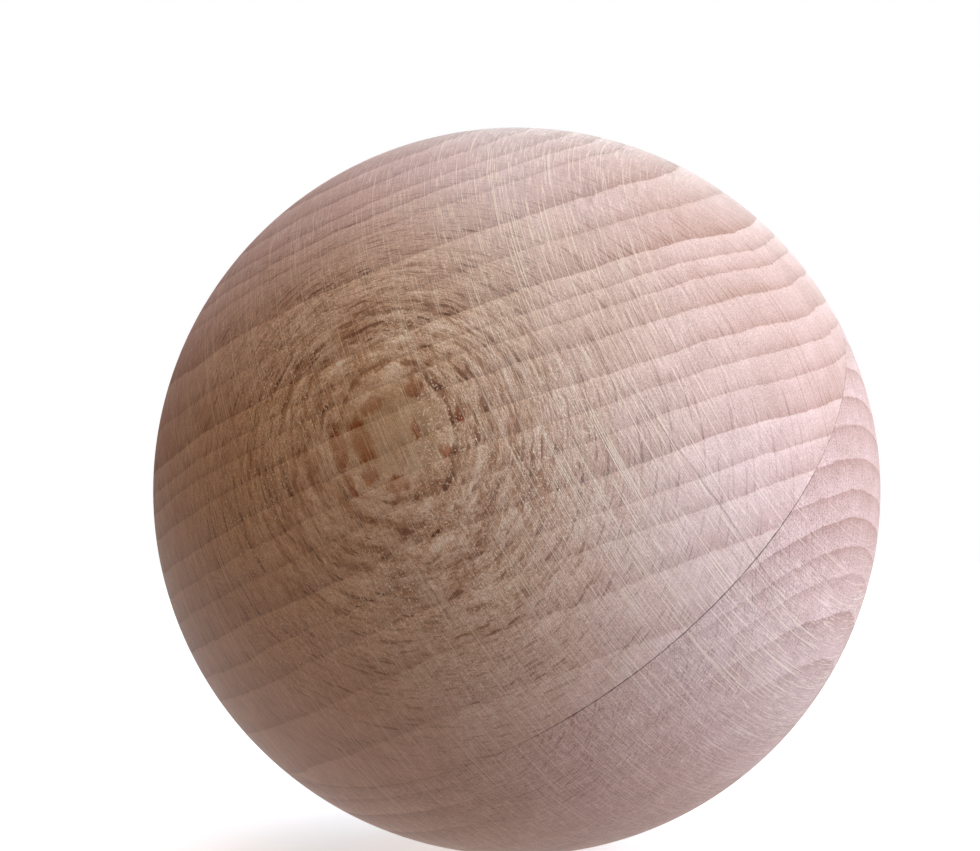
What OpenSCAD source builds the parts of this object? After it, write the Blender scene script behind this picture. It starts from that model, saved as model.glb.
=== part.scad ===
// Wooden ball, turned from a blank that was glued up from two blocks of beech.
// The origin is the centre of the ball, +Z is up and -Y is the front.
// The blocks meet on one flat joint that slants through the ball just behind its centre.

/* [Ball] */
// Diameter of the turned ball
ball_d = 100; // [60:1:140]

/* [Glue joint] */
// Distance from the centre of the ball to the joint, on the side of the back block
joint_offset = 3.3; // [0:0.1:20]
// Angle between +Z and the normal of the joint, which points into the back block
joint_tilt = 134; // [0:1:180]
// Direction that the normal leans towards, counted from +X to +Y
joint_turn = 40; // [-180:1:180]
// Width of the hairline that the joint leaves in the surface
seam_w = 0.3; // [0.1:0.05:1]
// Depth of that hairline
seam_depth = 0.15; // [0.05:0.05:1]

/* [Hidden] */
// Radius of the circle in which the joint meets the surface
joint_r = sqrt(pow(ball_d / 2, 2) - pow(joint_offset, 2));
// How far a cutting shape reaches past what it cuts
over = 1;
$fn = 180;

// Children drawn on the joint: its plane is XY, and +Z points into the back block.
module on_joint() {
    rotate([0, joint_tilt, joint_turn]) translate([0, 0, joint_offset]) children();
}

// The turned ball, with the pole of its surface on the normal of the joint.
module turned_ball() {
    on_joint() translate([0, 0, -joint_offset]) sphere(d = ball_d);
}

// A block large enough to hold the whole ball on one side of the joint.
// side is 1 for the back of the joint and -1 for the front.
module blank(side) {
    block_h = ball_d + over;
    on_joint() translate([0, 0, side * block_h / 2])
        cube([ball_d + 2 * over, ball_d + 2 * over, block_h], center = true);
}

// The V that shrinking wood and sanding open along the joint, as a ring round the ball.
// It has half its mouth on each block, and its mouth is seam_w wide at the surface.
module seam_hairline() {
    slope = seam_w / 2 / seam_depth;
    on_joint() rotate_extrude()
        polygon([
            [joint_r - seam_depth, 0],
            [joint_r + over, (seam_depth + over) * slope],
            [joint_r + over, -(seam_depth + over) * slope],
        ]);
}

// What the lathe leaves of one block of the blank.
module turned_block(side) {
    difference() {
        intersection() {
            turned_ball();
            blank(side);
        }
        seam_hairline();
    }
}

// The larger block, towards the front and the upper left.
module front_block() {
    color("burlywood") turned_block(-1);
}

// The smaller block, towards the back and the lower right.
module back_block() {
    color("tan") turned_block(1);
}

front_block();
back_block();
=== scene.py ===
"""A wooden ball of 100 mm, turned from two blocks of beech that are glued together.

Each block wears its own beech: growth rings as cylinders round the line of its pith, rays as thin upright
sheets that fan out from the pith, vessels along the fibres, and the marks that sanding left on the lathe.
The classes hold lengths in millimetres where they don't say metres. Blender's are in metres, and MM turns
one into the other.
"""

import logging
import math
from dataclasses import dataclass
from enum import Enum

import bpy
import numpy as np
from mathutils import Matrix, Vector

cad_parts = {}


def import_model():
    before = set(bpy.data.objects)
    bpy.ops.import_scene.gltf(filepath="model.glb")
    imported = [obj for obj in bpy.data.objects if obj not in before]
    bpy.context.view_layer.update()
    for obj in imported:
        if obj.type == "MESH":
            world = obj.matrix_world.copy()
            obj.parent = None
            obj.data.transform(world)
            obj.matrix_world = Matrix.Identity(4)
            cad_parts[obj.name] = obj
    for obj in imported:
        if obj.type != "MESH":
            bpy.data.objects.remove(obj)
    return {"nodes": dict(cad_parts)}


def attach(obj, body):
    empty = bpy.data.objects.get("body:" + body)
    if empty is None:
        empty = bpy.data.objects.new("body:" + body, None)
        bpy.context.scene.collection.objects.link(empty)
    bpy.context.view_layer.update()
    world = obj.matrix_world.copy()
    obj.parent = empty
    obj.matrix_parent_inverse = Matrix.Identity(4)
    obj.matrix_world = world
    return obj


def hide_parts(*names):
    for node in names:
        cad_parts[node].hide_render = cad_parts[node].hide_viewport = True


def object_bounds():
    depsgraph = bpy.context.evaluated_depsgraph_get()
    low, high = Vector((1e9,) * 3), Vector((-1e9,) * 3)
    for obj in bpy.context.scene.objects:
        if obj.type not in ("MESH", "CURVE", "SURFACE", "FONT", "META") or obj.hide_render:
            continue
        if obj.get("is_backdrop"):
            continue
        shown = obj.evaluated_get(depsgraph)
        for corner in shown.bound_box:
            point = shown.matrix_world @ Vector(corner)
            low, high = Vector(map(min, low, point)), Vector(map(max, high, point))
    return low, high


MM = 0.001
SMOOTH = {"interpolation_type": "SMOOTHSTEP"}
COLOURS = {"data_type": "RGBA", "clamp_factor": False}
ONE, OTHER, MIXED = 6, 7, 2  # a Mix node's two colours and what comes out, by the numbers of their sockets
log = logging.getLogger("wooden_ball")

Socket = bpy.types.NodeSocket
Cell = tuple[float, float, float]
Pair = tuple[float, float]


# Colours and nodes ---------------------------------------------------------------------------------------


def linear(hex_colour: str) -> tuple[float, float, float, float]:
    """Turns an sRGB colour into the linear one that shaders and lights take.

    Args:
        hex_colour: six hexadecimal digits, such as "c8a37c".

    Returns:
        Red, green, blue and an alpha of 1.
    """

    def channel(start: int) -> float:
        """Gives one channel of the colour as a linear number."""
        value = int(hex_colour[start : start + 2], 16) / 255
        return value / 12.92 if value <= 0.04045 else ((value + 0.055) / 1.055) ** 2.4

    return channel(0), channel(2), channel(4), 1.0


@dataclass(frozen=True)
class Speckle:
    """One scattering of light and dark grains, or of streaks where its grains are long."""

    cell: Cell  # the size of a grain along each coordinate, in millimetres
    detail: float = 2.0  # how many finer layers lie over the grains
    roughness: float = 0.5  # how strong those layers are


class Nodes:
    """Builds the nodes of one material or world."""

    def __init__(self, owner: bpy.types.Material | bpy.types.World) -> None:
        """Starts an empty tree on its owner.

        Args:
            owner: the material or the world that the nodes make.
        """
        owner.use_nodes = True
        self.tree = owner.node_tree
        self.tree.nodes.clear()

    def add(
        self,
        kind: str,
        inputs: dict | None = None,
        out: int | str = 0,
        points: list[Pair] | None = None,
        **settings,
    ) -> Socket:
        """Adds a node with its settings and links.

        Args:
            kind: the node's type, without the leading "ShaderNode".
            inputs: for a socket's name or number, the socket that feeds it or the value that it takes.
            out: which output to give back.
            points: for a curve, where its line bends, from 0 to 1 both ways and in order.
            **settings: properties of the node itself.

        Returns:
            The node's output socket, or the node's first input where it has no output.
        """
        node = self.tree.nodes.new("ShaderNode" + kind)
        for name, value in settings.items():
            setattr(node, name, value)
        for key, source in (inputs or {}).items():
            if isinstance(source, Socket):
                self.tree.links.new(source, node.inputs[key])
            else:
                node.inputs[key].default_value = source
        if points:
            bends = node.mapping.curves[0].points
            while len(bends) < len(points):
                bends.new(0.5, 0.5)
            for bend, point in zip(bends, points):
                bend.location = point
                bend.handle_type = "VECTOR"
            node.mapping.update()
        return node.outputs[out] if node.outputs else node.inputs[0]

    def total(self, parts: list[tuple[Socket, float]], start: float) -> Socket:
        """Adds values up, each times its share, to a start.

        Args:
            parts: pairs of a value and its share.
            start: what the sum starts from.

        Returns:
            The sum.
        """
        result = start
        for value, share in parts:
            result = self.add("Math", {0: value, 1: share, 2: result}, operation="MULTIPLY_ADD")
        return result

    def grains(self, place: Socket, speckle: Speckle, unit: float = 1.0) -> Socket:
        """Scatters light and dark grains.

        Args:
            place: the coordinates that they lie in.
            speckle: their size and make.
            unit: how long a millimetre is in those coordinates, 1 or MM.

        Returns:
            The noise, about 0.5.
        """
        cell = tuple(size * unit for size in speckle.cell)
        grains = self.add("VectorMath", {0: place, 1: cell}, operation="DIVIDE")
        finer = {"Detail": speckle.detail, "Roughness": speckle.roughness}
        return self.add("TexNoise", {"Vector": grains, "Scale": 1.0, **finer})

    def spot(self, place: Socket, middle: Cell, reach: Pair, values: Pair) -> Socket:
        """Sets one part of the ball apart from the rest.

        Args:
            place: the Object coordinates.
            middle: the middle of the part, in millimetres.
            reach: how far from the middle the change starts and ends, in millimetres.
            values: the value inside and the value outside.

        Returns:
            The value.
        """
        centre = Vector(middle) * MM
        away = self.add("VectorMath", {0: place, 1: centre}, out="Value", operation="DISTANCE")
        inner, outer = (distance * MM for distance in reach)
        ends = {"From Min": inner, "From Max": outer, "To Min": values[0], "To Max": values[1]}
        return self.add("MapRange", {"Value": away, **ends}, **SMOOTH)

    def along(self, place: Socket, axes: Matrix, origin: Vector) -> Socket:
        """Turns Object coordinates into millimetres along other axes.

        Args:
            place: the Object coordinates.
            axes: the axes as columns.
            origin: where they start, in millimetres.

        Returns:
            The coordinates.
        """
        inputs = {"Vector": place, "Location": origin * MM, "Rotation": axes.to_euler(), "Scale": (MM,) * 3}
        return self.add("Mapping", inputs, vector_type="TEXTURE")


# The wood ------------------------------------------------------------------------------------------------


@dataclass(frozen=True)
class RayKind:
    """Rays of one kind, each a sheet with a lens for its section, one to a cell."""

    cell: Pair  # how far apart they lie, across them and along the fibres
    half: Pair  # half the thickness and half the height of the largest
    spread: float  # by how much a ray may be smaller, as a share


@dataclass(frozen=True)
class Fleck:
    """A broad ray that the surface runs along, so that it shows as a patch."""

    along: float  # its middle along the fibres
    outwards: float  # its middle outwards from where the rays start
    half_along: float
    half_outwards: float


@dataclass(frozen=True)
class Grain:
    """How one block was sawn from its tree, and what that draws on it.

    Lengths are in millimetres, and places are from the centre of the ball. The wood's own coordinates run
    outwards from the pith, along the ring and along the fibres. In the fan's coordinates every ray is flat:
    they run along the ring, along the fibres and outwards.
    """

    fibre: Cell  # direction of the fibres
    pith: Cell  # a point on the line of the pith
    first_ring: float  # radius of the innermost ring that the block reaches
    ring_widths: tuple[float, ...]  # from that ring outwards
    ray_centre: float  # how far outside the pith the rays appear to start
    flecks: tuple[Fleck, ...]
    end_sweep: float  # how far the rings swing outwards at the far end
    faint_at: Cell  # where on the ball the rings show least
    faintest: float  # how much of them shows there
    pores: float  # how strongly pores stand out
    fibres: float  # how strongly short lines of fibre do
    first_year: float  # the first ring's number, from which each ring gets a tone of its own
    faint_reach: Pair = (10, 34)  # how far from that place the rings start to clear, and are clear
    far_end: Pair = (36.0, 54.0)  # from where to where along the fibres the rings swing
    ring_sway: Speckle = Speckle((11, 11, 16), 1.0)  # how the rings wave
    ring_edge: Speckle = Speckle((1.5, 1.5, 2.4), 3.0, 0.6)  # how their lines fray
    sheet_bend: Speckle = Speckle((14, 5, 4))  # how a ray bends along the ring
    sheet_rise: Speckle = Speckle((12, 5, 5))  # and along the fibres
    fleck_edge: Speckle = Speckle((0.6, 0.6, 1.6))  # how the edge of a fleck frays
    ray_run: float = 3.6  # how far outwards a ray keeps its size
    broad: RayKind = RayKind((0.80, 2.7), (0.095, 1.20), 0.5)
    narrow: RayKind = RayKind((0.36, 1.3), (0.055, 0.48), 0.6)

    def axes(self) -> Matrix:
        """Finds the block's own axes.

        Returns:
            The axes as columns: outwards, along the ring, and along the fibres.
        """
        along = Vector(self.fibre).normalized()
        outwards = -Vector(self.pith)
        outwards = (outwards - outwards.dot(along) * along).normalized()
        return Matrix((outwards, along.cross(outwards), along)).transposed()

    def depth(self) -> float:
        """Gives the distance of the ball's centre from the pith."""
        return Vector(self.fibre).normalized().cross(Vector(self.pith)).length

    def late_wood(self, nodes: Nodes, place: Socket, wood: Socket) -> Socket:
        """Darkens each ring from its pale start to the line that ends it, a little unlike its neighbours.

        Args:
            nodes: the material's nodes.
            place: the Object coordinates.
            wood: the wood's own coordinates.

        Returns:
            About 0 in early wood and 1 in late wood, and nearer to 0.4 where the rings are faint.
        """
        phase, year = self.rings(nodes, wood)
        clear = nodes.spot(place, self.faint_at, self.faint_reach, (self.faintest, 1.0))
        through = [(0.0, 0.45), (0.03, 0.0), (0.12, 0.0), (0.30, 0.16), (0.50, 0.27), (0.68, 0.40)]
        through += [(0.80, 0.58), (0.90, 0.74), (0.96, 0.86), (1.0, 0.80)]
        depth = nodes.add("FloatCurve", {"Value": phase}, points=through)
        depth = nodes.total([(year, 0.50), (depth, 1.35)], -0.28 - 0.4)
        depth = nodes.add("Math", {0: depth, 1: clear}, operation="MULTIPLY")
        return nodes.total([(depth, 1.0)], 0.4)

    def rings(self, nodes: Nodes, wood: Socket) -> tuple[Socket, Socket]:
        """Counts the growth rings outwards from the pith.

        Args:
            nodes: the material's nodes.
            wood: the wood's own coordinates.

        Returns:
            How far through its ring a point lies, from 0 to 1, and a number that each ring keeps.
        """
        outwards, sideways, along = nodes.add("SeparateXYZ", {0: wood}).node.outputs
        radius = nodes.add("CombineXYZ", {"X": outwards, "Y": sideways})
        radius = nodes.add("VectorMath", {0: radius}, out="Value", operation="LENGTH")
        start, end = self.far_end
        swing = {"Value": along, "From Min": start, "From Max": end, "To Max": -self.end_sweep}
        sway, ragged = 1.3, 0.62
        radius = nodes.total(
            [
                (nodes.grains(wood, self.ring_sway), sway),
                (nodes.grains(wood, self.ring_edge), ragged),
                (nodes.add("MapRange", swing, **SMOOTH), 1.0),
                (radius, 1.0),
            ],
            -0.5 * (sway + ragged) - 0.14,
        )
        edges = [self.first_ring]
        for width in self.ring_widths:
            edges.append(edges[-1] + width)
        rings = len(self.ring_widths)
        span = edges[-1] - edges[0]
        share = nodes.add("MapRange", {"Value": radius, "From Min": edges[0], "From Max": edges[-1]})
        steps = [((edge - edges[0]) / span, n / rings) for n, edge in enumerate(edges)]
        count = nodes.add("FloatCurve", {"Value": share}, points=steps)
        count = nodes.add("Math", {0: count, 1: float(rings)}, operation="MULTIPLY")
        number = nodes.add("Math", {0: count}, operation="FLOOR")
        year = nodes.add("Math", {0: number, 1: self.first_year}, operation="ADD")
        year = nodes.add("TexWhiteNoise", {"W": year}, noise_dimensions="1D")
        return nodes.add("Math", {0: count}, operation="FRACT"), year

    def fan(self, nodes: Nodes, wood: Socket) -> Socket:
        """Gives the coordinates in which every ray is flat.

        Args:
            nodes: the material's nodes.
            wood: the wood's own coordinates.

        Returns:
            The coordinates in millimetres.
        """
        outwards, sideways, along = nodes.add("SeparateXYZ", {0: wood}).node.outputs
        outwards = nodes.add("Math", {0: outwards, 1: -self.ray_centre}, operation="ADD")
        angle = nodes.add("Math", {0: sideways, 1: outwards}, operation="ARCTAN2")
        bend = nodes.grains(wood, self.sheet_bend)
        sheet = nodes.total([(angle, self.depth() - self.ray_centre), (bend, 0.6)], 0)
        rise = nodes.total([(nodes.grains(wood, self.sheet_rise), 1.6), (along, 1.0)], 0)
        return nodes.add("CombineXYZ", {"X": sheet, "Y": rise, "Z": outwards})

    def rays(self, nodes: Nodes, fan: Socket, row: Socket) -> Socket:
        """Scatters broad and narrow rays.

        Args:
            nodes: the material's nodes.
            fan: the fan's coordinates.
            row: where the rays are smaller, about 0.5.

        Returns:
            1 inside a broad ray, 0.6 inside a narrow one and 0 outside them.
        """
        broad, narrow = (self.rays_of(nodes, fan, row, kind) for kind in (self.broad, self.narrow))
        return nodes.add("Math", {0: broad, 1: nodes.total([(narrow, 0.6)], 0)}, operation="MAXIMUM")

    def rays_of(self, nodes: Nodes, fan: Socket, row: Socket, kind: RayKind) -> Socket:
        """Scatters rays of one kind.

        Args:
            nodes: the material's nodes.
            fan: the fan's coordinates.
            row: where the rays are smaller, about 0.5.
            kind: what the rays are like.

        Returns:
            1 inside a ray and 0 outside it.
        """
        inside = nodes.add("VectorMath", {0: fan, 1: (*kind.cell, 1.0)}, operation="DIVIDE")
        cells = {"Vector": inside, "Scale": 1.0}
        centres = nodes.add("TexVoronoi", cells, voronoi_dimensions="2D").node.outputs
        away = nodes.add("VectorMath", {0: inside, 1: centres["Position"]}, operation="SUBTRACT")
        sizes = (kind.cell[0] / kind.half[0], kind.cell[1] / kind.half[1], 0.0)
        away = nodes.add("VectorMath", {0: away, 1: sizes}, operation="MULTIPLY")
        away = nodes.add("VectorMath", {0: away}, out="Value", operation="LENGTH")
        luck = nodes.add("SeparateColor", {0: centres["Color"]})
        run = nodes.grains(fan, Speckle((*kind.cell, self.ray_run), 1.0))
        size = nodes.total([(luck, -kind.spread), (run, -2.0), (row, -2.8)], 1.0 + 1.0 + 1.4)
        size = nodes.add("Math", {0: size, 1: 0.05}, operation="MAXIMUM")
        away = nodes.add("Math", {0: away, 1: size}, operation="DIVIDE")
        fade = {"Value": away, "From Min": 0.6, "From Max": 1.0, "To Min": 1.0, "To Max": 0.0}
        return nodes.add("MapRange", fade, **SMOOTH)

    def bare_rays(self, nodes: Nodes, fan: Socket) -> Socket:
        """Lays bare the flecks, the few broad rays that the surface runs along.

        Args:
            nodes: the material's nodes.
            fan: the fan's coordinates.

        Returns:
            1 inside a fleck and 0 outside it.
        """
        nearest = 2.0
        for fleck in self.flecks:
            middle = (0, fleck.along, fleck.outwards)
            size = (0, 1 / fleck.half_along, 1 / fleck.half_outwards)
            away = nodes.add("VectorMath", {0: fan, 1: middle}, operation="SUBTRACT")
            away = nodes.add("VectorMath", {0: away, 1: size}, operation="MULTIPLY")
            away = nodes.add("VectorMath", {0: away}, out="Value", operation="LENGTH")
            nearest = nodes.add("Math", {0: away, 1: nearest}, operation="MINIMUM")
        ragged = nodes.total([(nodes.grains(fan, self.fleck_edge), 1.2), (nearest, 1.0)], -0.6)
        fade = {"Value": ragged, "From Min": 0.6, "From Max": 1.05, "To Min": 1.0, "To Max": 0.0}
        return nodes.add("MapRange", fade, **SMOOTH)


@dataclass(frozen=True)
class Sanding:
    """What turning and sanding left on the ball. Places are in millimetres from its centre.

    In the lathe's coordinates the last runs along the axis that the ball turned on.
    """

    radius: float  # of the ball
    turning_axis: Cell
    second_axis: Cell = (0.72, 0.67, -0.17)  # how the ball was held for its last strokes
    deep_scratch: tuple[Cell, Cell, Cell] = ((13.0, -46.6, 12.8), (22.2, -44.8, 0.8), (34.9, -31.7, -16.5))
    scuffed_at: Cell = (26.0, -40.0, -15.5)  # where the last strokes lie closest
    fine: Speckle = Speckle((3.2, 3.2, 0.16), 2.0, 0.7)  # the brushing
    fine_patch: Speckle = Speckle((9, 9, 4), 2.0)  # the patches that it lies in
    long_line: Speckle = Speckle((18, 18, 0.17), 1.0)  # scratches that run far round the ball
    short_line: Speckle = Speckle((4, 4, 0.14), 1.0)  # scratches that soon end
    # painted shadow: how far from each pale scratch lies the dark line that paints its shaded side
    groove: float = 0.13  # from a pale scratch to the dark one beside it
    cross_line: Speckle = Speckle((6, 6, 0.2), 1.0)  # the last strokes
    cross_patch: Speckle = Speckle((7, 7, 7), 1.0)  # the patches that they lie in
    wander: Speckle = Speckle((4, 4, 4), 1.0)  # how the deep scratch strays from its plane
    burr: float = 0.24  # from the bottom of the deep scratch to its pale edge
    speck: Speckle = Speckle((0.28, 0.28, 0.28), 1.0)  # lifted fibre
    speck_patch: Speckle = Speckle((12, 12, 12), 1.0)  # the patches that it lies in

    @staticmethod
    def lathe_axes(turning_axis: Cell) -> Matrix:
        """Finds the lathe's axes.

        Args:
            turning_axis: the axis that the ball turned on.

        Returns:
            The axes as columns, the last of them the turning axis.
        """
        spindle = Vector(turning_axis).normalized()
        across = spindle.orthogonal().normalized()
        return Matrix((across, spindle.cross(across), spindle)).transposed()

    def scratches(self, nodes: Nodes, place: Socket) -> tuple[Socket, Socket, Socket, Socket]:
        """Draws what sanding left round the turning axis.

        Args:
            nodes: the material's nodes.
            place: the Object coordinates.

        Returns:
            Pale scratches, the fine brushing about 0 that lies in patches, a dark line of painted shadow
            beside the strongest pale scratches, and the whitish haze of the belts that were sanded most.
        """
        lathe = nodes.along(place, self.lathe_axes(self.turning_axis), Vector())
        height = nodes.add("SeparateXYZ", {0: lathe}, out="Z")
        height = nodes.add("MapRange", {"Value": height, "From Min": -self.radius, "From Max": self.radius})
        belts = [(0.0, 0.2), (0.14, 0.25), (0.26, 0.55), (0.36, 0.50), (0.46, 0.35), (0.55, 0.20)]
        belts += [(0.62, 0.35), (0.70, 0.80), (0.77, 1.0), (0.84, 0.55), (0.92, 0.10), (1.0, 0.0)]
        belt = nodes.add("FloatCurve", {"Value": height}, points=belts)
        ends = self.clear_of_ends(nodes, height)
        fine = nodes.grains(lathe, self.fine)
        patch = nodes.total([(nodes.grains(lathe, self.fine_patch), 1.0), (belt, 0.16)], -0.06)
        patch = {"Value": patch, "From Min": 0.40, "From Max": 0.62, "To Min": 0.35}
        patch = nodes.add("Math", {0: nodes.add("MapRange", patch, **SMOOTH), 1: ends}, operation="MULTIPLY")
        brushed = nodes.add("Math", {0: nodes.total([(fine, 1.0)], -0.5), 1: patch}, operation="MULTIPLY")
        # painted shadow: the same scratches, moved a little along the axis, give a dark line on their shaded
        # side
        beside = nodes.add("VectorMath", {0: lathe, 1: (0, 0, self.groove)}, operation="ADD")
        pale, dark = (nodes.grains(side, self.long_line) for side in (lathe, beside))
        short = nodes.grains(lathe, self.short_line)
        pale = nodes.add("Math", {0: pale, 1: nodes.total([(short, 1.0)], -0.01)}, operation="MAXIMUM")
        pale = nodes.add("MapRange", {"Value": pale, "From Min": 0.60, "From Max": 0.68}, **SMOOTH)
        dark = nodes.add("MapRange", {"Value": dark, "From Min": 0.64, "From Max": 0.72}, **SMOOTH)
        share = nodes.add("Math", {0: nodes.total([(belt, 0.8)], 0.45), 1: ends}, operation="MULTIPLY")
        pale, dark = (nodes.add("Math", {0: line, 1: share}, operation="MULTIPLY") for line in (pale, dark))
        fine = nodes.add("MapRange", {"Value": brushed, "From Min": 0.08, "From Max": 0.26}, **SMOOTH)
        haze = nodes.add("Math", {0: belt, 1: nodes.total([(patch, 0.6)], 0.6)}, operation="MULTIPLY")
        return nodes.add("Math", {0: fine, 1: pale}, operation="MAXIMUM"), brushed, dark, haze

    @staticmethod
    def clear_of_ends(nodes: Nodes, height: Socket) -> Socket:
        """Keeps scratches off the two ends of the axis, where they would close to small circles.

        Args:
            nodes: the material's nodes.
            height: the place along the axis, from 0 to 1.

        Returns:
            1 along the ball and 0 at the ends.
        """
        away = nodes.add("Math", {0: height, 1: 0.5}, operation="SUBTRACT")
        away = nodes.add("Math", {0: away}, operation="ABSOLUTE")
        fade = {"Value": away, "From Min": 0.36, "From Max": 0.47, "To Min": 1.0, "To Max": 0.0}
        return nodes.add("MapRange", fade, **SMOOTH)

    def cross_scratches(self, nodes: Nodes, place: Socket) -> Socket:
        """Draws the short dark scratches that were left when the ball was held the other way.

        Args:
            nodes: the material's nodes.
            place: the Object coordinates.

        Returns:
            1 in a scratch and 0 beside it.
        """
        crossing = nodes.along(place, self.lathe_axes(self.second_axis), Vector())
        line = nodes.grains(crossing, self.cross_line)
        line = nodes.add("MapRange", {"Value": line, "From Min": 0.55, "From Max": 0.63}, **SMOOTH)
        near = nodes.spot(place, self.scuffed_at, (5, 20), (0.18, 0.0))
        patch = nodes.total([(near, 1.0), (nodes.grains(crossing, self.cross_patch), 1.0)], 0)
        patch = nodes.add("MapRange", {"Value": patch, "From Min": 0.60, "From Max": 0.76}, **SMOOTH)
        return nodes.add("Math", {0: line, 1: patch}, operation="MULTIPLY")

    def deep_marks(self, nodes: Nodes, place: Socket) -> tuple[Socket, Socket]:
        """Draws the one deep scratch that runs a little askew of the others.

        Args:
            nodes: the material's nodes.
            place: the Object coordinates.

        Returns:
            The dark bottom of the scratch and the pale edge beside it, as 1 on the mark and 0 off it.
        """
        start, middle, end = (Vector(point) for point in self.deep_scratch)
        across = (middle - start).cross(end - middle).normalized()
        away = nodes.add("VectorMath", {0: place, 1: across}, out="Value", operation="DOT_PRODUCT")
        wander = nodes.grains(place, self.wander, MM)
        fade = nodes.spot(place, tuple(middle), (10, 27), (1.0, 0.0))
        marks = []
        for beside in (0.0, self.burr):
            apart = nodes.total([(away, 1.0 / MM), (wander, 0.5)], -0.25 - start.dot(across) - beside)
            apart = nodes.add("Math", {0: apart}, operation="ABSOLUTE")
            line = {"Value": apart, "From Min": 0.05, "From Max": 0.16, "To Min": 1.0, "To Max": 0.0}
            line = nodes.add("MapRange", line, **SMOOTH)
            marks.append(nodes.add("Math", {0: line, 1: fade}, operation="MULTIPLY"))
        return marks[0], marks[1]

    def fuzz(self, nodes: Nodes, place: Socket) -> Socket:
        """Draws small bright specks of lifted fibre, which lie in patches.

        Args:
            nodes: the material's nodes.
            place: the Object coordinates.

        Returns:
            1 on a speck and 0 off it.
        """
        speck = nodes.grains(place, self.speck, MM)
        speck = nodes.add("MapRange", {"Value": speck, "From Min": 0.60, "From Max": 0.68}, **SMOOTH)
        patch = nodes.grains(place, self.speck_patch, MM)
        patch = nodes.add("MapRange", {"Value": patch, "From Min": 0.40, "From Max": 0.60}, **SMOOTH)
        return nodes.add("Math", {0: speck, 1: patch}, operation="MULTIPLY")


@dataclass(frozen=True)
class GlueJoint:
    """The plane in which the two blocks meet. The normal points into the back block."""

    normal: Vector
    offset: float  # metres from the centre of the ball
    open_at: Cell = (22.6, -42.1, -14.5)  # where the joint has opened most, in millimetres
    breaks: Speckle = Speckle((1.4, 1.4, 1.4))  # how the hairline comes and goes
    ragged: Speckle = Speckle((0.7, 0.7, 0.7))  # how it strays from the plane

    def hairline(self, nodes: Nodes, place: Socket) -> Socket:
        """Draws the hairline of the glue, which is darkest where the joint has opened a little.

        Args:
            nodes: the material's nodes.
            place: the Object coordinates.

        Returns:
            How much of the line's colour shows.
        """
        near = nodes.spot(place, self.open_at, (13, 32), (1.0, 0.0))
        broken = nodes.grains(place, self.breaks, MM)
        away = nodes.add("VectorMath", {0: place, 1: self.normal}, out="Value", operation="DOT_PRODUCT")
        stray = nodes.grains(place, self.ragged, MM)
        away = nodes.total([(stray, 0.16 * MM), (away, 1.0)], -0.08 * MM - self.offset)
        away = nodes.add("Math", {0: away}, operation="ABSOLUTE")
        width = nodes.total([(near, 0.03 * MM), (broken, 0.14 * MM)], 0.01 * MM)
        away = nodes.add("Math", {0: away, 1: width}, operation="DIVIDE")
        fade = {"Value": away, "From Min": 0.35, "From Max": 1.0, "To Min": 1.0, "To Max": 0.0}
        line = nodes.add("MapRange", fade, **SMOOTH)
        strength = nodes.total([(near, 0.55), (broken, 0.8)], -0.25)
        strength = nodes.add("Math", {0: strength, 1: 0.0}, operation="MAXIMUM")
        return nodes.add("Math", {0: line, 1: strength}, operation="MULTIPLY")


@dataclass(frozen=True)
class WoodFields:
    """What most of the wood's marks read: the coordinates, and how each thing changes over the surface."""

    place: Socket  # the Object coordinates
    wood: Socket  # the wood's own coordinates
    fan: Socket  # the fan's coordinates, in which every ray is flat
    late: Socket  # from 0 in early wood to 1 in late wood
    lifted: Socket  # 1 where sanding lifts the fibre most, 0 where it lifts none
    calm: Socket  # 1, and less at the very place where the rays lie flat
    row: Socket  # where the rays are smaller, about 0.5
    streak: Socket  # fibre cut at a slant, about 0.5
    pore: Socket  # about 0.5


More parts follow.
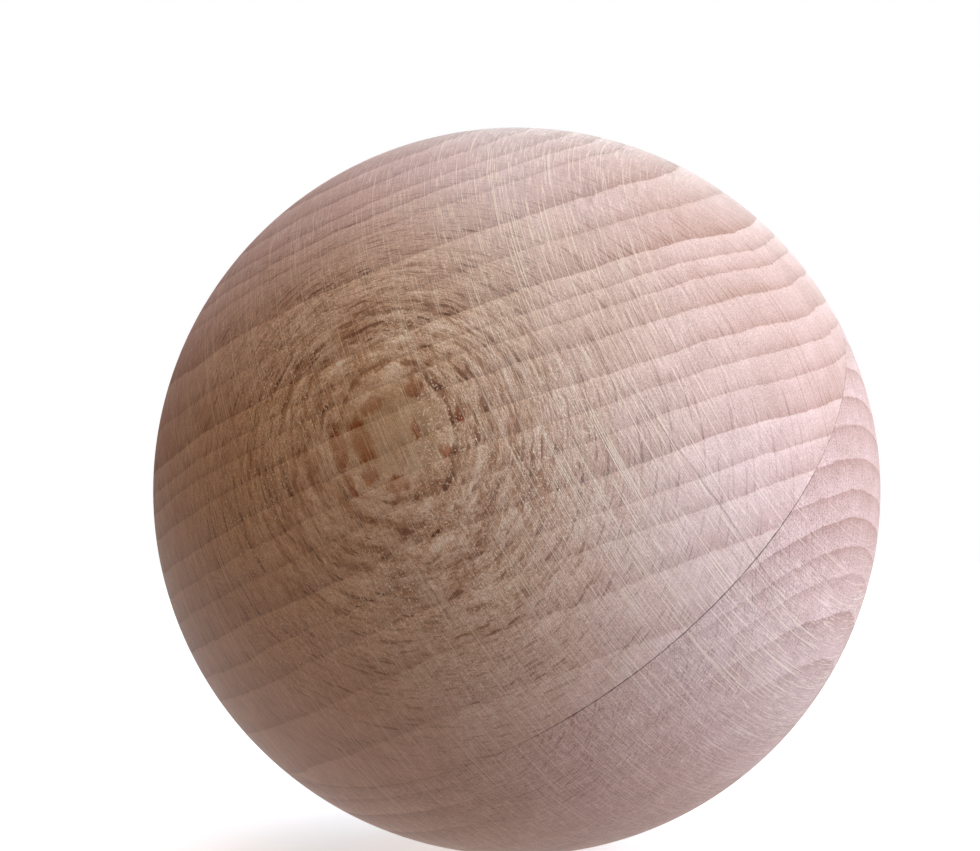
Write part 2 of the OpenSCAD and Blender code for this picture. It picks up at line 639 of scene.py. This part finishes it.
@dataclass(frozen=True)
class SandedBeech:
    """Bare European beech, turned on the lathe and sanded along its turning circles.

    To the eye it is matt and pinkish brown. Each growth ring starts pale and ends in a thin darker line.
    Rays show as short dark dashes, or as broad brown flecks where the surface runs along them. Sanding
    leaves fine pale scratches round the turning axis, and here and there some lifted fibre.
    """

    name: str
    grain: Grain
    sanding: Sanding
    pale: str  # early wood, just outside a ring line
    deep: str  # late wood, in the ring line
    ray: str = "b5987d"  # what a ray does to the colour of the wood
    fleck: str = "cc9468"  # the same where the surface runs along the ray
    bared: str = "fff7de"  # what rays that lie along the surface do to the colour round them
    silvery: str = "dccdb4"  # the wood between them at the very place where they lie flat
    hazy: str = "f0eaea"  # the dust in the belts that were sanded most
    scuffed: str = "fff0d8"  # fibre that sanding has lifted
    glue: str = "3a261b"
    roughness: float = 0.55
    ior: float = 1.46
    flat_at: Cell = (-14.6, -47.4, 6.4)  # where on the ball the rays lie flat in the surface
    lifted_at: Cell = (-17.0, -46.0, 2.0)  # the middle of the part where sanding lifts the fibre
    rows: Speckle = Speckle((0.40, 6, 7), 1.0)  # sheets in which the rays are smaller, in the fan
    streaks: Speckle = Speckle((0.20, 0.8, 1.6), 2.0, 0.65)  # fibre cut at a slant, in the fan
    bundles: Speckle = Speckle((0.18, 1.5, 1.1), 2.0, 0.7)  # fibre lifted between the rays, in the fan
    vessels: Speckle = Speckle((0.20, 0.20, 1.6), roughness=0.7)  # in the wood's own coordinates
    clouds: Speckle = Speckle((3.5, 5, 9))  # broad and faint, in the wood's own coordinates
    pores: Speckle = Speckle((0.17, 0.17, 0.17), roughness=0.75)

    def material(self, joint: GlueJoint) -> bpy.types.Material:
        """Makes the material of one block.

        Args:
            joint: the joint whose hairline crosses the surface.

        Returns:
            The material, which reads Object coordinates.
        """
        made = bpy.data.materials.new(self.name)
        nodes = Nodes(made)
        fields = self.fields(nodes)
        rays = self.shown_rays(nodes, fields)
        flecks = self.shown_flecks(nodes, fields)
        rough = self.lifted_fibre(nodes, fields)
        scratch, brushed, scratch_shadow_line, haze = self.sanding.scratches(nodes, fields.place)
        deep, edge = self.sanding.deep_marks(nodes, fields.place)
        across = self.sanding.cross_scratches(nodes, fields.place)
        fuzz = self.sanding.fuzz(nodes, fields.place)
        fuzz = nodes.add("Math", {0: fuzz, 1: fields.lifted}, operation="MULTIPLY")
        seam = joint.hairline(nodes, fields.place)
        # painted shadow: the dark line beside the pale scratches darkens the wood as shade would; it also
        # dents the relief a little
        marks = [(brushed, 1.15), (scratch_shadow_line, -0.16), (across, -0.26), (deep, -0.34)]
        colour = self.layers(
            nodes,
            [
                (fields.late, linear(self.deep), "MIX"),
                (nodes.total([(fields.calm, -0.40)], 0.40), linear(self.silvery), "MIX"),
                (rays, linear(self.ray), "MULTIPLY"),
                (flecks, linear(self.fleck), "MULTIPLY"),
                (fields.lifted, linear(self.bared), "MULTIPLY"),
                (1.0, self.shades(nodes, self.tone(nodes, fields, marks), 0.21), "MULTIPLY"),
                (1.0, self.shades(nodes, rough, 0.37), "MULTIPLY"),
                (nodes.total([(haze, 0.15)], 0), linear(self.hazy), "MIX"),
                (nodes.total([(scratch, 0.50), (edge, 0.12), (fuzz, 0.85)], 0), linear(self.scuffed), "MIX"),
                (seam, linear(self.glue), "MIX"),
            ],
        )
        relief = nodes.total(
            [
                (rays, 0.012),
                (fields.streak, -0.02),
                (rough, 0.05),
                (scratch, 0.004),
                (scratch_shadow_line, -0.01),
                (seam, -0.05),
            ],
            0,
        )
        surface = nodes.add(
            "BsdfPrincipled",
            {
                "Base Color": colour,
                "Roughness": nodes.total([(flecks, -0.08), (fields.pore, 0.1)], self.roughness - 0.05),
                "Normal": nodes.add("Bump", {"Height": relief, "Distance": MM, "Strength": 1.0}),
                "IOR": self.ior,
            },
        )
        nodes.add("OutputMaterial", {"Surface": surface})
        return made

    def fields(self, nodes: Nodes) -> WoodFields:
        """Lays out the coordinates and the fields that the marks read.

        Args:
            nodes: the material's nodes.

        Returns:
            The fields.
        """
        place = nodes.add("TexCoord", out="Object")
        wood = nodes.along(place, self.grain.axes(), Vector(self.grain.pith))
        fan = self.grain.fan(nodes, wood)
        return WoodFields(
            place=place,
            wood=wood,
            fan=fan,
            late=self.grain.late_wood(nodes, place, wood),
            lifted=nodes.spot(place, self.lifted_at, (13, 47), (1.0, 0.0)),
            calm=nodes.spot(place, self.flat_at, (3, 8), (0.25, 1.0)),
            row=nodes.grains(fan, self.rows),
            streak=nodes.grains(fan, self.streaks),
            pore=nodes.grains(place, self.pores, MM),
        )

    def shown_rays(self, nodes: Nodes, fields: WoodFields) -> Socket:
        """Lets the rays show most in late wood, and where the fibre is lifted, but not where they lie flat.

        Args:
            nodes: the material's nodes.
            fields: the material's fields.

        Returns:
            How much of the rays' colour shows.
        """
        where_lifted = nodes.total([(fields.lifted, 0.65)], 0.5)
        in_late_wood = nodes.total([(fields.late, 0.6)], 0.5)
        rays = self.grain.rays(nodes, fields.fan, fields.row)
        for share in (fields.calm, where_lifted, in_late_wood):
            rays = nodes.add("Math", {0: rays, 1: share}, operation="MULTIPLY")
        return rays

    def shown_flecks(self, nodes: Nodes, fields: WoodFields) -> Socket:
        """Lets the flecks show where the rays lie flat, and most of all in late wood.

        Args:
            nodes: the material's nodes.
            fields: the material's fields.

        Returns:
            How much of the flecks' colour shows.
        """
        flecks = self.grain.bare_rays(nodes, fields.fan) if self.grain.flecks else 0.0
        facing = nodes.spot(fields.place, self.flat_at, (40, 90), (1.0, 0.35))
        shown = nodes.total([(fields.late, 0.6)], 0.55)
        shown = nodes.add("Math", {0: shown, 1: facing}, operation="MULTIPLY")
        return nodes.add("Math", {0: flecks, 1: shown}, operation="MULTIPLY")

    def lifted_fibre(self, nodes: Nodes, fields: WoodFields) -> Socket:
        """Lifts the fibre, in bundles between the rays where these lie nearly flat, and else finely.

        Args:
            nodes: the material's nodes.
            fields: the material's fields.

        Returns:
            How high the fibre stands and how light it is, about 1.
        """
        coarse = nodes.spot(fields.place, self.flat_at, (12, 30), (1.0, 0.2))
        bundle = nodes.grains(fields.fan, self.bundles)
        bundle = nodes.total([(bundle, 1.5), (fields.row, 2.4)], -0.5 * (1.5 + 2.4))
        bundle = nodes.add("Math", {0: bundle, 1: coarse}, operation="MULTIPLY")
        rough = nodes.total([(fields.pore, 0.9), (fields.streak, 2.0), (bundle, 1.0)], -0.5 * (0.9 + 2.0))
        lifted = nodes.total([(fields.lifted, 0.88)], 0.12)
        rough = nodes.add("Math", {0: rough, 1: lifted}, operation="MULTIPLY")
        rough = nodes.add("Math", {0: rough, 1: fields.calm, 2: 1.0}, operation="MULTIPLY_ADD")
        return nodes.add("Math", {0: rough, 1: 0.5}, operation="MAXIMUM")

    def tone(self, nodes: Nodes, fields: WoodFields, marks: list[tuple[Socket, float]]) -> Socket:
        """Adds up what makes the wood lighter or darker.

        Args:
            nodes: the material's nodes.
            fields: the material's fields.
            marks: pairs of a mark of sanding and what it adds.

        Returns:
            How light the wood is, which is 1 where every speckle has its middle value and there is no mark.
        """
        vessels, pores = -self.grain.fibres, self.grain.pores
        streaks, clouds = -0.30, 0.40
        parts = [
            (nodes.grains(fields.wood, self.vessels), vessels),
            (fields.streak, streaks),
            (fields.pore, pores),
            (nodes.grains(fields.wood, self.clouds), clouds),
        ]
        return nodes.total(parts + marks, 1.0 - 0.5 * (vessels + streaks + pores + clouds))

    def layers(self, nodes: Nodes, coats: list[tuple[Socket | float, Socket | tuple, str]]) -> Socket:
        """Lays colours over early wood, one after the other.

        Args:
            nodes: the material's nodes.
            coats: for each, how much of it shows, its colour and how it blends with what lies below.

        Returns:
            The colour.
        """
        colour = linear(self.pale)
        for share, shade, blend in coats:
            coat = {0: share, ONE: colour, OTHER: shade}
            colour = nodes.add("Mix", coat, MIXED, blend_type=blend, **COLOURS)
        return colour

    @staticmethod
    def shades(nodes: Nodes, tone: Socket, warmth: float) -> Socket:
        """Turns a tone about 1 into a colour that grows browner as it darkens, as wood does.

        Args:
            nodes: the material's nodes.
            tone: how light the wood is.
            warmth: how much faster blue changes than green, and green than red.

        Returns:
            What to multiply the wood's colour by.
        """
        powers = (1 - warmth, 1.0, 1 + warmth)
        powers = [nodes.add("Math", {0: tone, 1: power}, operation="POWER") for power in powers]
        return nodes.add("CombineColor", dict(enumerate(powers)))


# The ball ------------------------------------------------------------------------------------------------


class Side(Enum):
    """The two blocks, by the names of their nodes."""

    FRONT = "front_block"
    BACK = "back_block"


@dataclass
class BallBlock:
    """One block of the ball: a cap of the turned sphere, flat at the joint, with its rim eased."""

    side: Side
    radius: float  # metres
    joint: GlueJoint
    finish: SandedBeech
    segments: int = 256  # faces round the joint
    rim_ease: float = 0.03  # millimetres off the rim, half of the hairline's mouth
    sharp: float = 25.0  # degrees from which an edge stays sharp
    map_dome: Pair = (0.5, 0.497)  # middle and radius of the dome on the map, as shares of its side
    map_base: Pair = (0.068, 0.055)  # the same of the flat face

    def build(self) -> bpy.types.Object:
        """Models the block and dresses it.

        Returns:
            The finished piece, at the origin.
        """
        piece = self.turned_cap()
        self.ease_rim(piece)
        self.lay_out_map(piece.data)
        piece.data.materials.append(self.finish.material(self.joint))
        return piece

    def turned_cap(self) -> bpy.types.Object:
        """Makes the turned sphere, with its pole square to the joint, and cuts it at the joint.

        Returns:
            The cap, with its flat face closed.
        """
        bpy.ops.object.select_all(action="DESELECT")
        turn = self.joint.normal.to_track_quat("Z", "Y").to_euler()
        bpy.ops.mesh.primitive_uv_sphere_add(
            segments=self.segments, ring_count=self.segments // 2, radius=self.radius, rotation=turn
        )
        piece = bpy.context.active_object
        piece.name = "turned_" + self.side.value
        bpy.ops.object.transform_apply(location=False, rotation=True, scale=False)
        bpy.ops.object.mode_set(mode="EDIT")
        bpy.ops.mesh.select_all(action="SELECT")
        bpy.ops.mesh.bisect(
            plane_co=self.joint.normal * self.joint.offset,
            plane_no=self.joint.normal,
            use_fill=True,
            clear_outer=self.side is Side.FRONT,
            clear_inner=self.side is Side.BACK,
        )
        bpy.ops.object.mode_set(mode="OBJECT")
        return piece

    def ease_rim(self, piece: bpy.types.Object) -> None:
        """Bevels the rim at the joint, and shades all but that edge smooth.

        Args:
            piece: the cap.
        """
        mesh = piece.data
        height = self.places(mesh) @ np.array(self.joint.normal) - self.joint.offset
        rim = np.abs(height) < 0.001 * MM
        bpy.ops.object.mode_set(mode="EDIT")
        bpy.ops.mesh.select_mode(type="EDGE")
        bpy.ops.mesh.select_all(action="DESELECT")
        bpy.ops.object.mode_set(mode="OBJECT")
        for edge in mesh.edges:
            edge.select = bool(rim[edge.vertices[0]] and rim[edge.vertices[1]])
        bpy.ops.object.mode_set(mode="EDIT")
        bpy.ops.mesh.bevel(offset=self.rim_ease * MM, offset_type="OFFSET", segments=1)
        bpy.ops.mesh.select_all(action="SELECT")
        bpy.ops.mesh.normals_make_consistent(inside=False)
        bpy.ops.object.mode_set(mode="OBJECT")
        bpy.ops.object.shade_smooth_by_angle(angle=math.radians(self.sharp))

    def lay_out_map(self, mesh: bpy.types.Mesh) -> None:
        """Lays the cap out as one round map of equal areas, with the flat face small in a corner of it.

        Args:
            mesh: the cap's mesh.
        """
        while mesh.uv_layers:
            mesh.uv_layers.remove(mesh.uv_layers[0])
        layer = mesh.uv_layers.new(name="OFBake")
        pole = self.joint.normal * (-1 if self.side is Side.FRONT else 1)
        turned = self.places(mesh) @ np.array(pole.to_track_quat("Z", "Y").to_matrix()) / self.radius
        across = turned[:, :2]
        reach = np.sqrt(np.maximum(1 - turned[:, 2:], 0))
        aside = np.maximum(np.linalg.norm(across, axis=1), 1e-9)[:, None]
        dome = self.map_dome[0] + self.map_dome[1] * across / aside * reach / reach.max()
        base = self.map_base[0] + self.map_base[1] * across
        corners = np.empty(len(mesh.loops), np.int32)
        mesh.loops.foreach_get("vertex_index", corners)
        flat = [face.normal.dot(pole) < -0.99 for face in mesh.polygons]
        flat = np.repeat(flat, [face.loop_total for face in mesh.polygons])
        spots = np.where(flat[:, None], base[corners], dome[corners])
        layer.uv.foreach_set("vector", spots.astype(np.float32).ravel())

    @staticmethod
    def places(mesh: bpy.types.Mesh) -> np.ndarray:
        """Gives the places of a mesh's vertices, one to a row.

        Args:
            mesh: the mesh.

        Returns:
            The places in metres.
        """
        numbers = np.empty(len(mesh.vertices) * 3)
        mesh.vertices.foreach_get("co", numbers)
        return numbers.reshape(-1, 3)


# The studio ----------------------------------------------------------------------------------------------


@dataclass(frozen=True)
class Softbox:
    """A square soft light that faces the ball."""

    name: str
    azimuth: float  # degrees to the right of the camera
    height: float  # degrees above level
    watts: float
    colour: str
    side: float = 0.5  # metres
    distance: float = 0.7  # metres

    def hang(self) -> None:
        """Adds the light to the scene."""
        around = math.radians(self.azimuth)
        above = math.radians(self.height)
        level = self.distance * math.cos(above)
        place = Vector((level * math.sin(around), -level * math.cos(around), self.distance * math.sin(above)))
        bpy.ops.object.light_add(type="AREA", location=place)
        lamp = bpy.context.active_object
        lamp.name = self.name
        lamp.rotation_euler = (-place).to_track_quat("-Z", "Y").to_euler()
        lamp.data.shape = "SQUARE"
        lamp.data.size = self.side
        lamp.data.energy = self.watts
        lamp.data.color = linear(self.colour)[:3]


@dataclass
class Studio:
    """A plain pale floor, soft light from the right, and the camera."""

    ball_radius: float  # metres
    camera_distance: float = 300.0  # millimetres from the centre of the ball
    look_left: float = 3.63  # how far left of the centre the camera aims, so that the ball sits right of it
    look_up: float = 8.93  # how far above the centre it aims, so that the ball sits low in the frame
    lens: float = 79.0
    sensor: float = 36.0
    floor_radius: float = 1.2  # metres
    floor_warmth: str = "ffd4be"
    floor_bounce: float = 0.29  # how much light the floor casts on the wood
    lit_from: Cell = (0.6, 0.78, 0.18)  # which way the lit wall lies, as a direction from the ball
    lights: tuple[Softbox, ...] = (
        Softbox("key_low", 60, 8, 3.85, "c4e9ff"),
        Softbox("key_high", 60, 35, 1.62, "ffeadb"),
        Softbox("key_side", 78, -2, 3.6, "cabfff"),
        Softbox("side", 90, 8, 1.4, "fff0e2"),
        Softbox("top", 0, 88, 1.85, "b2e4ff"),
        Softbox("back_top", -150, 62, 1.5, "f8e2ff"),
        Softbox("back", 168, 26, 1.3, "b8f4ff"),
        Softbox("warm_fill", -30, 62, 1.2, "ffb61c"),
    )

    def build(self) -> None:
        """Sets the floor, the walls, the lights and the camera."""
        self.floor()
        self.walls()
        for light in self.lights:
            light.hang()
        self.camera()

    def floor(self) -> None:
        """Lays a pale floor that fades into the walls, and that casts only a weak warm light upwards."""
        bpy.ops.object.select_all(action="DESELECT")
        bpy.ops.mesh.primitive_circle_add(
            vertices=96, radius=self.floor_radius, fill_type="NGON", location=(0, 0, -self.ball_radius)
        )
        floor = bpy.context.active_object
        floor.name = "floor"
        bpy.ops.object.transform_apply(location=True, rotation=False, scale=False)
        paint = bpy.data.materials.new("pale_floor_paint")
        nodes = Nodes(paint)
        rays = nodes.add("LightPath").node.outputs
        place = nodes.add("TexCoord", out="Object")
        far = nodes.add("VectorMath", {0: place}, out="Value", operation="LENGTH")
        glow = {"Value": far, "From Min": 0.08, "From Max": 0.6, "To Min": 0.62, "To Max": 1.0}
        seen = nodes.add(
            "BsdfPrincipled",
            {
                "Base Color": linear("f2f0ee"),
                "Roughness": 0.9,
                "Emission Color": linear("ffffff"),
                "Emission Strength": nodes.add("MapRange", glow, **SMOOTH),
            },
        )
        warm = tuple(self.floor_bounce * channel for channel in linear(self.floor_warmth))
        bounce = {0: rays["Is Glossy Ray"], ONE: (*warm[:3], 1.0), OTHER: linear("ffffff")}
        bounce = nodes.add("Emission", {"Color": nodes.add("Mix", bounce, MIXED, **COLOURS)})
        surface = nodes.add("MixShader", {0: rays["Is Camera Ray"], 1: bounce, 2: seen})
        nodes.add("OutputMaterial", {"Surface": surface})
        floor.data.materials.append(paint)
        floor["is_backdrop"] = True

    def walls(self) -> None:
        """Gives the studio white walls. The wood mirrors the lit one at its edges, and no other light."""
        world = bpy.data.worlds.new("studio")
        nodes = Nodes(world)
        rays = nodes.add("LightPath").node.outputs
        towards = nodes.add("TexCoord", out="Generated")
        aim = {0: towards, 1: self.lit_from}
        lit = nodes.add("VectorMath", aim, out="Value", operation="DOT_PRODUCT")
        lit = nodes.add("MapRange", {"Value": lit, "From Min": 0.35, "From Max": 0.9}, **SMOOTH)
        lit = nodes.add("Math", {0: lit, 1: rays["Is Glossy Ray"]}, operation="MULTIPLY")
        strength = nodes.total([(lit, 1.0), (rays["Is Camera Ray"], 1.0)], 0)
        light = nodes.add("Background", {"Color": linear("ffffff"), "Strength": strength})
        nodes.add("OutputWorld", {"Surface": light})
        bpy.context.scene.world = world

    def camera(self) -> None:
        """Stands the camera level with the centre of the ball, in front of it."""
        place = Vector((0, -self.camera_distance, 0)) * MM
        target = Vector((-self.look_left, 0, self.look_up)) * MM
        turn = (target - place).to_track_quat("-Z", "Y").to_euler()
        bpy.ops.object.camera_add(location=place, rotation=turn)
        camera = bpy.context.active_object
        camera.data.lens = self.lens
        camera.data.sensor_width = self.sensor
        bpy.context.scene.camera = camera
        bpy.context.scene.view_settings.view_transform = "Standard"


# Putting it together -------------------------------------------------------------------------------------


def joint_of(back: bpy.types.Object, radius: float) -> GlueJoint:
    """Finds the glue joint on the back block's solid, as its one flat face inside the ball.

    Args:
        back: the back block's node.
        radius: the ball's radius in metres.

    Returns:
        The joint, with its normal into the back block.
    """
    inner = [face for face in back.data.polygons if face.center.length < 0.9 * radius]
    flat = max(inner, key=lambda face: face.area)
    normal = -flat.normal
    return GlueJoint(normal=normal.copy(), offset=flat.center.dot(normal))


def beeches(radius: float) -> dict[Side, SandedBeech]:
    """Gives each block its beech. Both were turned together, so they share the marks of sanding.

    Args:
        radius: the ball's radius in millimetres.

    Returns:
        The beech of each side.
    """
    sanding = Sanding(radius, turning_axis=(0.838, -0.307, 0.450))
    front = Grain(
        fibre=(0.902, -0.227, 0.368),
        pith=(-63.4, -22.9, 141.4),
        first_ring=106.0,
        ring_widths=(
            *(3.0, 2.8, 2.8, 2.1, 2.2, 5.5, 4.8, 5.0, 2.8, 2.4, 3.4, 4.4, 3.4),
            *(3.5, 4.4, 3.9, 3.6, 5.3, 6.7, 7.4, 5.0, 4.4, 5.0, 4.6, 5.0, 4.0),
        ),
        ray_centre=25.0,
        flecks=(
            Fleck(-6.1, 112.0, 1.1, 3.0),
            Fleck(-6.2, 116.4, 0.8, 2.0),
            Fleck(-3.2, 112.6, 1.4, 3.6),
            Fleck(-3.4, 116.4, 1.6, 1.2),
            Fleck(-0.7, 108.9, 1.9, 1.2),
            Fleck(4.8, 109.2, 1.6, 1.0),
            Fleck(3.4, 113.4, 0.7, 1.6),
            Fleck(-0.6, 118.5, 1.6, 1.3),
            Fleck(9.3, 114.0, 0.6, 1.3),
            Fleck(6.2, 116.8, 0.8, 1.1),
        ),
        end_sweep=1.8,
        faint_at=(-6.0, -44.0, -22.0),
        faintest=0.7,
        pores=1.4,
        fibres=0.45,
        first_year=59766.0,
    )
    back = Grain(
        fibre=(0.828, -0.432, 0.357),
        pith=(26.0, -16.1, -79.9),
        first_ring=34.0,
        ring_widths=(
            *(4.5, 4.5, 6.1, 4.7, 3.9, 3.2, 3.3, 3.3, 3.9, 4.2, 3.6, 4.4),
            *(5.0, 4.2, 3.8, 4.6, 5.2, 4.0, 3.4, 4.6, 5.0, 4.4, 4.0, 5.2),
        ),
        ray_centre=0.0,
        flecks=(),
        end_sweep=0.0,
        faint_at=(13.0, -32.0, -36.0),
        faintest=0.12,
        pores=2.0,
        fibres=1.3,
        first_year=0.0,
    )
    return {
        Side.FRONT: SandedBeech("front_sanded_beech", front, sanding, "dcbdae", "c5a190"),
        Side.BACK: SandedBeech("back_sanded_beech", back, sanding, "d8b9ac", "c19d8e"),
    }


def main() -> None:
    """Builds the ball and its studio."""
    logging.basicConfig(level=logging.INFO, format="%(name)s: %(message)s")
    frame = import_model()
    cad_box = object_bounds()
    radius = (cad_box[1].z - cad_box[0].z) / 2
    joint = joint_of(frame["nodes"][Side.BACK.value], radius)
    log.info("glue joint: %.2f mm from the centre", joint.offset / MM)
    for side, finish in beeches(radius / MM).items():
        piece = BallBlock(side, radius, joint, finish).build()
        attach(piece, "root")
        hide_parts(side.value)
        log.info("%s: %d faces, wears %s", piece.name, len(piece.data.polygons), finish.name)
    Studio(ball_radius=radius).build()


if __name__ == "__main__":
    main()
